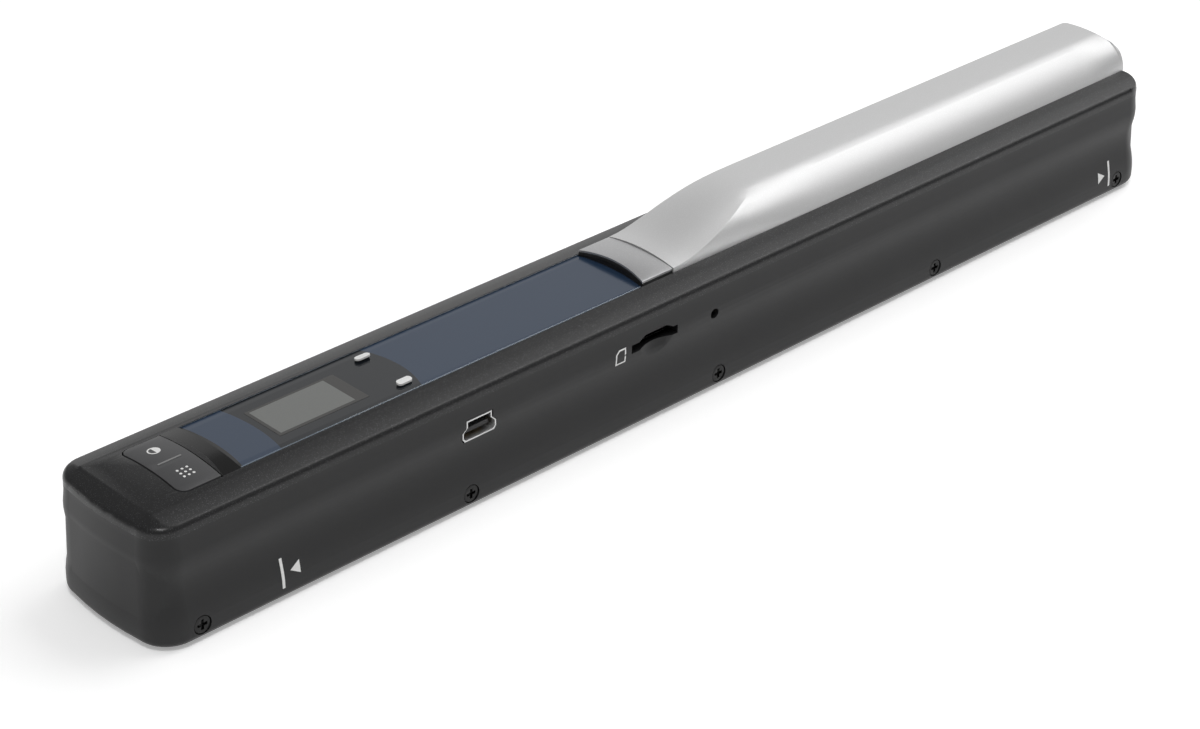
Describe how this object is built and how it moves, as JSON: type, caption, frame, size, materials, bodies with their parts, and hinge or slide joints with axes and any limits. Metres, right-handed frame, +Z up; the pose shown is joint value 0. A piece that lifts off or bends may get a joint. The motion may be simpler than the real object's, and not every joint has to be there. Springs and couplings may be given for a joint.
{
  "type": "image scanner",
  "caption": "Long hand-held wand scanner with a crowned top, a display window, a mode key, a scan button, a raised battery cover and rollers beside its scan glass.",
  "frame": {"origin": "under the middle of the body, on the surface that the rollers stand on", "axes": "+X along the body towards the battery end, -Y towards the side with the sockets, +Z up"},
  "size_m": [0.2578, 0.03, 0.0306],
  "materials": {
    "housing_plastic": "charcoal, fine texture",
    "top_paint": "dark grey satin paint with a fine sparkle",
    "frame_plastic": "black, plain",
    "key_plastic": "dark grey satin",
    "silver_paint": "silver satin paint",
    "window_plastic": "dark blue tint, polished",
    "dark_film": "printed film",
    "display_grey": "grey liquid crystal display",
    "white_plastic": "white, plain",
    "clear_plastic": "clear, polished",
    "switch_plastic": "black, plain",
    "plunger_plastic": "cream, plain",
    "cell_can": "printed sleeve on the can",
    "contact_metal": "nickel plated",
    "wire_red": "insulated wire",
    "steel": "bright",
    "screw_black": "blackened",
    "board_green": "green solder mask",
    "gold": "gold plated",
    "scan_glass": "polished",
    "tyre_rubber": "black, plain"
  },
  "bodies": {
    "housing": {"main_housing": "housing_plastic", "top_cover": "top_paint", "bottom_frame": "frame_plastic", "front_case_screws": "screw_black", "rear_case_screws": "screw_black", "display_window": "window_plastic", "window_tape": "dark_film", "display_mask": "dark_film", "lcd_module": "display_grey", "lcd_holder": "white_plastic", "status_leds": "white_plastic", "led_light_pipes": "clear_plastic", "mode_switches": "switch_plastic", "scan_switch": "switch_plastic", "battery_tray": "frame_plastic", "battery_cells": "cell_can", "battery_contacts": "contact_metal", "battery_return_strip": "contact_metal", "battery_lead": "wire_red", "tray_screws": "steel", "main_board": "board_green", "board_screws": "steel", "board_chips": "switch_plastic", "usb_shell": "steel", "usb_tongue": "switch_plastic", "usb_contacts": "gold", "card_socket_base": "switch_plastic", "card_socket_cover": "steel", "reset_switch": "switch_plastic", "sensor_housing": "switch_plastic", "sensor_glass": "scan_glass", "rod_lens_array": "clear_plastic", "light_guide": "clear_plastic", "sensor_board": "board_green", "sensor_screws": "steel", "ribbon_cable": "white_plastic", "ribbon_connector": "white_plastic", "roller_bushes": "white_plastic", "photo_interrupter": "switch_plastic"},
    "mode_key": {"mode_key": "key_plastic"},
    "front_mode_plunger": {"front_mode_plunger": "plunger_plastic"},
    "rear_mode_plunger": {"rear_mode_plunger": "plunger_plastic"},
    "scan_button": {"scan_button": "silver_paint", "scan_switch_plunger": "plunger_plastic"},
    "battery_cover": {"battery_cover": "silver_paint"},
    "front_roller": {"front_roller_shaft": "steel", "front_roller_hubs": "white_plastic", "front_roller_tyres": "tyre_rubber"},
    "rear_roller": {"rear_roller_shaft": "steel", "rear_roller_hubs": "white_plastic", "rear_roller_tyres": "tyre_rubber", "drive_gear": "white_plastic"},
    "encoder": {"encoder_gear": "white_plastic", "encoder_disc": "switch_plastic", "encoder_axle": "steel"},
    "reset_plunger": {"reset_plunger": "plunger_plastic"}
  },
  "joints": [
    {"name": "mode_key_rock", "type": "hinge", "parent": "housing", "child": "mode_key", "pos_m": [-0.11365, 0, 0.02176], "axis": [1, 0, 0], "range_deg": [-1.5, 1.5], "stiffness_Nm_per_rad": 0.1},
    {"name": "front_mode_plunger_slide", "type": "slide", "parent": "housing", "child": "front_mode_plunger", "axis": [0, 0, 1], "range_m": [-0.00015, 0.00015]},
    {"name": "rear_mode_plunger_slide", "type": "slide", "parent": "housing", "child": "rear_mode_plunger", "axis": [0, 0, 1], "range_m": [-0.00015, 0.00015]},
    {"name": "scan_button_press", "type": "slide", "parent": "housing", "child": "scan_button", "axis": [0, 0, -1], "range_m": [0, 0.0003], "stiffness_N_per_m": 1000},
    {"name": "battery_cover_slide", "type": "slide", "parent": "housing", "child": "battery_cover", "axis": [1, 0, 0], "range_m": [0, 0.004]},
    {"name": "front_roller_spin", "type": "hinge", "parent": "housing", "child": "front_roller", "pos_m": [0, -0.0093, 0.003], "axis": [1, 0, 0], "continuous": true},
    {"name": "rear_roller_spin", "type": "hinge", "parent": "housing", "child": "rear_roller", "pos_m": [0, 0.0093, 0.003], "axis": [1, 0, 0], "continuous": true},
    {"name": "encoder_spin", "type": "hinge", "parent": "housing", "child": "encoder", "pos_m": [-0.11145, 0.00594, 0.0073], "axis": [1, 0, 0], "continuous": true},
    {"name": "reset_plunger_press", "type": "slide", "parent": "housing", "child": "reset_plunger", "axis": [0, 1, 0], "range_m": [0, 0.00025], "stiffness_N_per_m": 400}
  ],
  "couplings": [
    {"joint": "front_mode_plunger_slide", "follows": "mode_key_rock", "m_per_rad": -0.005},
    {"joint": "rear_mode_plunger_slide", "follows": "mode_key_rock", "m_per_rad": 0.005},
    {"joint": "encoder_spin", "follows": "rear_roller_spin", "ratio": -0.8}
  ]
}
